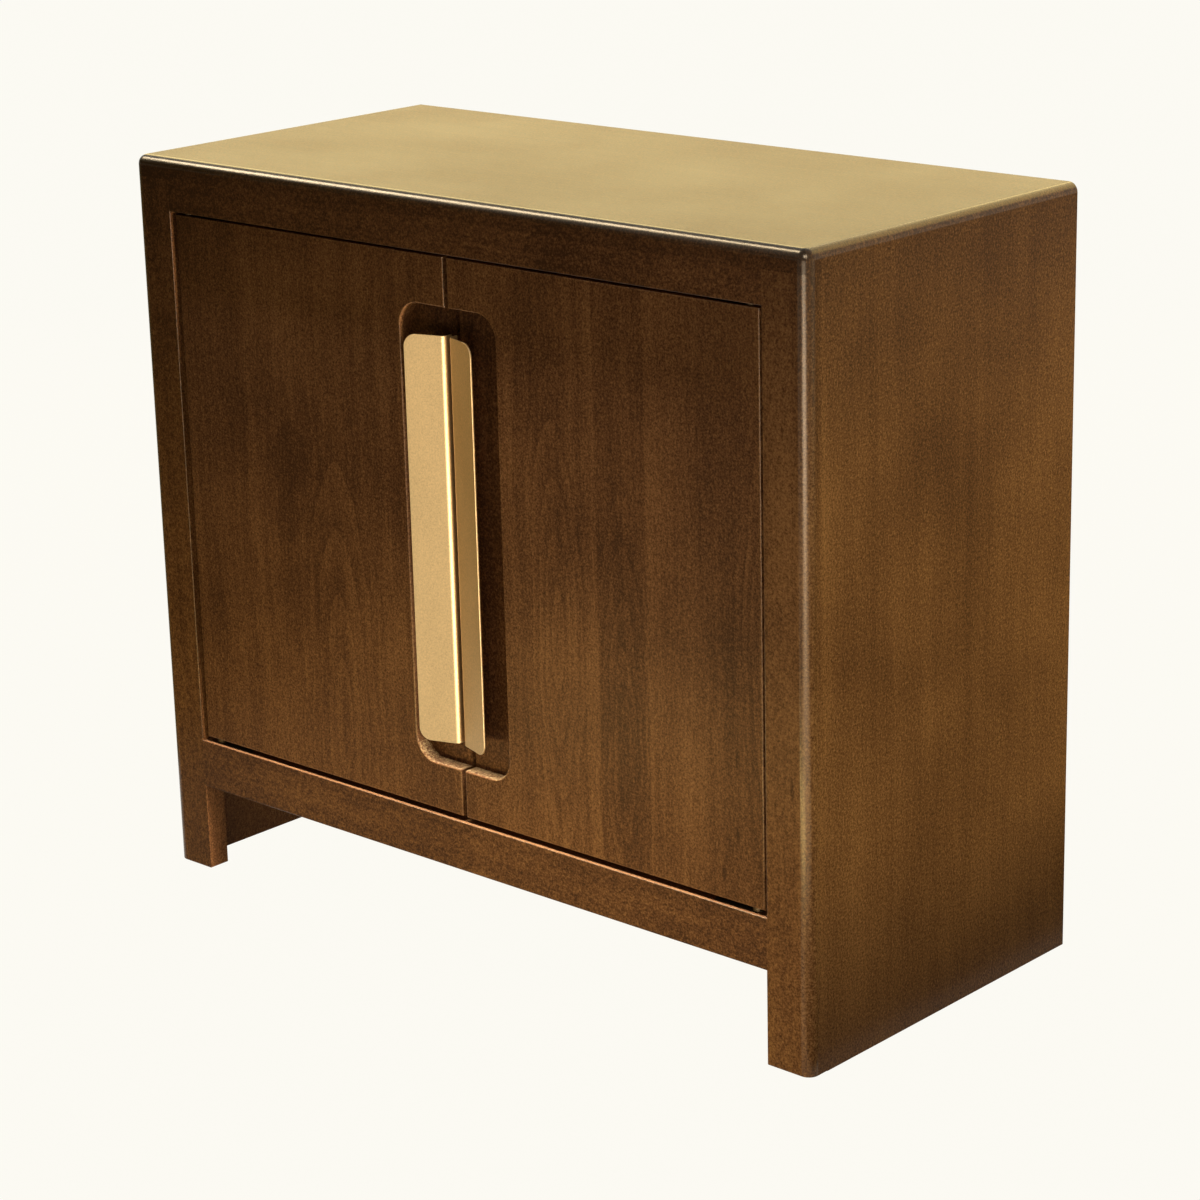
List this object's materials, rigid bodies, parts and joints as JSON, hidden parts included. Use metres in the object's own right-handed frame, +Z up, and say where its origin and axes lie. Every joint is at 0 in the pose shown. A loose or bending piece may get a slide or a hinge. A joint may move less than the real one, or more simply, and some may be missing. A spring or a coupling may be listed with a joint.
{
  "type": "accent cabinet",
  "caption": "Low accent cabinet in dark stained wood with side-hung doors, a shelf inside, and bent brass pull plates that stand in a recess shared by the doors.",
  "frame": {"origin": "on the floor, below the middle of the cabinet's outer box, pull plates included", "axes": "+X to the right seen from the front, +Y to the back, +Z up"},
  "size_m": [0.9, 0.4256, 0.789],
  "materials": {
    "stained_wood": "dark walnut-brown stain under satin lacquer",
    "inner_wood": "brown stained veneer, low sheen",
    "dowel_wood": "bare beech",
    "satin_brass": "finely brushed satin brass",
    "hinge_brass": "plain machined brass",
    "steel": "zinc-plated steel"
  },
  "bodies": {
    "case": {"top_panel": "stained_wood", "right_side_panel": "stained_wood", "left_side_panel": "stained_wood", "right_front_stile": "stained_wood", "left_front_stile": "stained_wood", "front_top_rail": "stained_wood", "front_bottom_rail": "stained_wood", "rear_top_rail": "inner_wood", "rear_bottom_rail": "inner_wood", "floor_panel": "inner_wood", "back_panel": "inner_wood", "back_panel_screws": "steel", "shelf": "inner_wood", "shelf_supports": "steel", "door_stop_block": "inner_wood", "catch_magnets": "steel", "top_dowels": "dowel_wood", "upper_pivot_washers": "hinge_brass", "lower_pivot_washers": "hinge_brass", "frame_leaf_screws": "steel", "right_upper_frame_leaf": "hinge_brass", "right_upper_pivot_pin": "hinge_brass", "right_lower_frame_leaf": "hinge_brass", "right_lower_pivot_pin": "hinge_brass", "left_upper_frame_leaf": "hinge_brass", "left_upper_pivot_pin": "hinge_brass", "left_lower_frame_leaf": "hinge_brass", "left_lower_pivot_pin": "hinge_brass"},
    "right_door": {"right_door_panel": "stained_wood", "right_handle": "satin_brass", "right_handle_screws": "steel", "right_upper_door_leaf": "hinge_brass", "right_lower_door_leaf": "hinge_brass", "right_door_leaf_screws": "steel", "right_strike_plate": "steel", "right_strike_screw": "steel"},
    "left_door": {"left_door_panel": "stained_wood", "left_handle": "satin_brass", "left_handle_screws": "steel", "left_upper_door_leaf": "hinge_brass", "left_lower_door_leaf": "hinge_brass", "left_door_leaf_screws": "steel", "left_strike_plate": "steel", "left_strike_screw": "steel"}
  },
  "joints": [
    {"name": "right_door_hinge", "type": "hinge", "parent": "case", "child": "right_door", "pos_m": [0.379, -0.18975, 0.442], "axis": [0, 0, 1], "range_deg": [0, 110]},
    {"name": "left_door_hinge", "type": "hinge", "parent": "case", "child": "left_door", "pos_m": [-0.379, -0.18975, 0.442], "axis": [0, 0, -1], "range_deg": [0, 110]}
  ]
}
